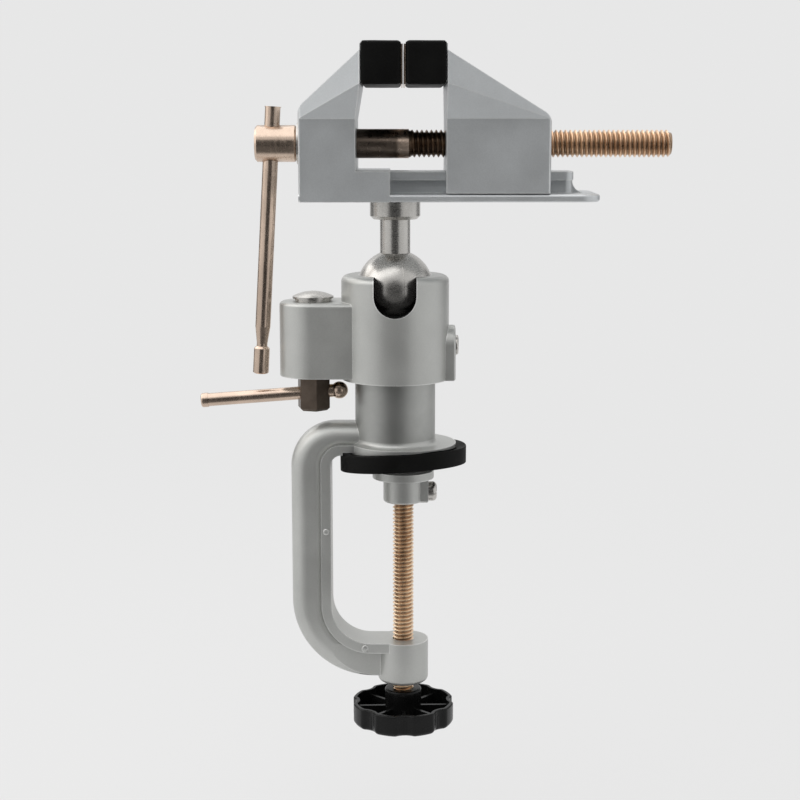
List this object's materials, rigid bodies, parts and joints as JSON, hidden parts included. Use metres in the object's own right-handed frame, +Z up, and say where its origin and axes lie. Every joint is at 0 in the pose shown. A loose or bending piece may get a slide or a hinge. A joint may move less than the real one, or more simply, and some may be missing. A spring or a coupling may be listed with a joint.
{
  "type": "ball vise",
  "caption": "Small bench vise on a ball joint, with a lever that locks the ball, a turning socket housing and a C clamp with a lobed knob for the bench edge.",
  "frame": {"origin": "centre of the rubber pad's underside, where it rests on the bench, on the axis of the clamp screw", "axes": "+Z up, away from the bench; +X along the vise's lead screw, from its handle towards its free end; the slot of the ball socket faces -Y"},
  "size_m": [0.1737, 0.0618, 0.257],
  "materials": {
    "cast_aluminium": "satin",
    "polished_steel": "polished",
    "bronze_plated_steel": "polished",
    "thread_steel": "satin",
    "plain_steel": "satin",
    "black_rubber": "matte",
    "black_plastic": "gloss",
    "bearing_plastic": "matte",
    "wedge_brass": "satin"
  },
  "bodies": {
    "frame": {"clamp_frame": "cast_aluminium", "bench_pad": "black_rubber"},
    "housing": {"socket_housing": "cast_aluminium", "ball_seat": "bearing_plastic", "pan_screw": "plain_steel", "clamp_cap_nut": "polished_steel"},
    "wedge": {"clamp_wedge": "wedge_brass"},
    "spindle": {"clamp_spindle": "bronze_plated_steel"},
    "lever": {"lever_bar": "bronze_plated_steel", "lever_end_ball": "bronze_plated_steel"},
    "stud": {"ball_stud": "polished_steel"},
    "head": {"fixed_jaw": "cast_aluminium", "stud_screw": "plain_steel", "jaw_cover_fixed": "black_rubber", "jaw_plate_fixed": "bronze_plated_steel", "jaw_screws_fixed": "plain_steel", "thrust_washer": "plain_steel", "screw_retaining_pin": "plain_steel"},
    "moving": {"moving_jaw": "cast_aluminium", "jaw_cover_moving": "black_rubber", "jaw_plate_moving": "bronze_plated_steel", "jaw_screws_moving": "plain_steel"},
    "screw": {"lead_screw": "thread_steel"},
    "handle": {"screw_handle": "bronze_plated_steel", "handle_cap": "bronze_plated_steel"},
    "foot": {"swivel_foot": "cast_aluminium", "foot_screw": "plain_steel"},
    "clamp": {"clamp_screw": "thread_steel", "knob": "black_plastic", "knob_insert": "plain_steel"}
  },
  "joints": [
    {"name": "housing_pan", "type": "hinge", "parent": "frame", "child": "housing", "pos_m": [-0.003, 0, 0.05], "axis": [0, 0, 1], "continuous": true},
    {"name": "clamp_draw", "type": "slide", "parent": "housing", "child": "wedge", "axis": [0, 0, 1], "range_m": [-0.00036, 0]},
    {"name": "lever_turn", "type": "hinge", "parent": "wedge", "child": "spindle", "pos_m": [-0.0335, 0, 0.034], "axis": [0, 0, 1], "range_deg": [-130, 0]},
    {"name": "lever_bar_slide", "type": "slide", "parent": "spindle", "child": "lever", "axis": [0.9971, 0, 0.0757], "range_m": [-0.0006, 0.0016]},
    {"name": "ball_tilt", "type": "hinge", "parent": "housing", "child": "stud", "pos_m": [-0.003, 0, 0.0675], "axis": [1, 0, 0], "range_deg": [-45, 90]},
    {"name": "ball_spin", "type": "hinge", "parent": "stud", "child": "head", "pos_m": [-0.003, 0, 0.0675], "axis": [0, 0, 1], "continuous": true},
    {"name": "jaw_slide", "type": "slide", "parent": "head", "child": "moving", "axis": [1, 0, 0], "range_m": [-0.00035, 0.032]},
    {"name": "lead_screw_turn", "type": "hinge", "parent": "head", "child": "screw", "pos_m": [-0.003, 0, 0.1204], "axis": [1, 0, 0], "range_deg": [-6583.5, 72.5]},
    {"name": "handle_slide", "type": "slide", "parent": "screw", "child": "handle", "axis": [0.059, 0, 0.9983], "range_m": [-0.0045, 0.066]},
    {"name": "foot_slide", "type": "slide", "parent": "frame", "child": "foot", "axis": [0, 0, 1], "range_m": [-0.053, 0]},
    {"name": "clamp_screw_turn", "type": "hinge", "parent": "foot", "child": "clamp", "pos_m": [0, 0, -0.01], "axis": [0, 0, 1], "range_deg": [-12721, 0]}
  ],
  "couplings": [
    {"joint": "lever_turn", "follows": "clamp_draw", "rad_per_m": 6283.2},
    {"joint": "lead_screw_turn", "follows": "jaw_slide", "rad_per_m": -3590.4},
    {"joint": "clamp_screw_turn", "follows": "foot_slide", "rad_per_m": 4188.8}
  ]
}
